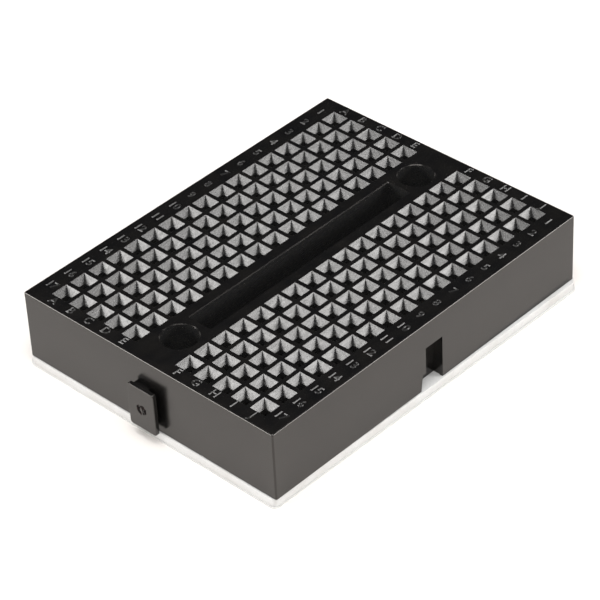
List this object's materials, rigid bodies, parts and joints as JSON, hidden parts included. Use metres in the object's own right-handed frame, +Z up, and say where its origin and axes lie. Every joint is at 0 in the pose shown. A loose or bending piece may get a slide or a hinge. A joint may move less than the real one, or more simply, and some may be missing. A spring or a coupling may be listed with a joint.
{
  "type": "solderless breadboard",
  "caption": "Black solderless breadboard: two banks of square-funnelled tie points beside a long ravine, hooks and slots for joining boards, and an adhesive foam base with a peel-off liner.",
  "frame": {"origin": "under the middle of the housing's outline, on the underside of the release liner, which is the surface the board rests on", "axes": "+X across the board from column A to column J, +Y along it towards row 1, +Z up out of the deck. The hooks stand on the -X and -Y walls and the slots are in the +X and +Y walls."},
  "size_m": [0.0363, 0.0473, 0.0094],
  "materials": {
    "housing": "black injection-moulded ABS, semi-gloss",
    "contacts": "nickel-plated spring bronze strip, bright and slightly warm",
    "foam": "white closed-cell adhesive foam, matte",
    "liner": "white siliconised release paper, low sheen"
  },
  "bodies": {
    "board": {"housing": "housing", "clip_ae_01": "contacts", "clip_ae_02": "contacts", "clip_ae_03": "contacts", "clip_ae_04": "contacts", "clip_ae_05": "contacts", "clip_ae_06": "contacts", "clip_ae_07": "contacts", "clip_ae_08": "contacts", "clip_ae_09": "contacts", "clip_ae_10": "contacts", "clip_ae_11": "contacts", "clip_ae_12": "contacts", "clip_ae_13": "contacts", "clip_ae_14": "contacts", "clip_ae_15": "contacts", "clip_ae_16": "contacts", "clip_ae_17": "contacts", "clip_fj_01": "contacts", "clip_fj_02": "contacts", "clip_fj_03": "contacts", "clip_fj_04": "contacts", "clip_fj_05": "contacts", "clip_fj_06": "contacts", "clip_fj_07": "contacts", "clip_fj_08": "contacts", "clip_fj_09": "contacts", "clip_fj_10": "contacts", "clip_fj_11": "contacts", "clip_fj_12": "contacts", "clip_fj_13": "contacts", "clip_fj_14": "contacts", "clip_fj_15": "contacts", "clip_fj_16": "contacts", "clip_fj_17": "contacts", "foam_pad": "foam"},
    "liner": {"release_liner": "liner"}
  },
  "joints": [
    {"name": "liner_peel", "type": "slide", "parent": "liner", "child": "board", "axis": [0, 0, 1], "range_m": [0, 0.015]}
  ]
}
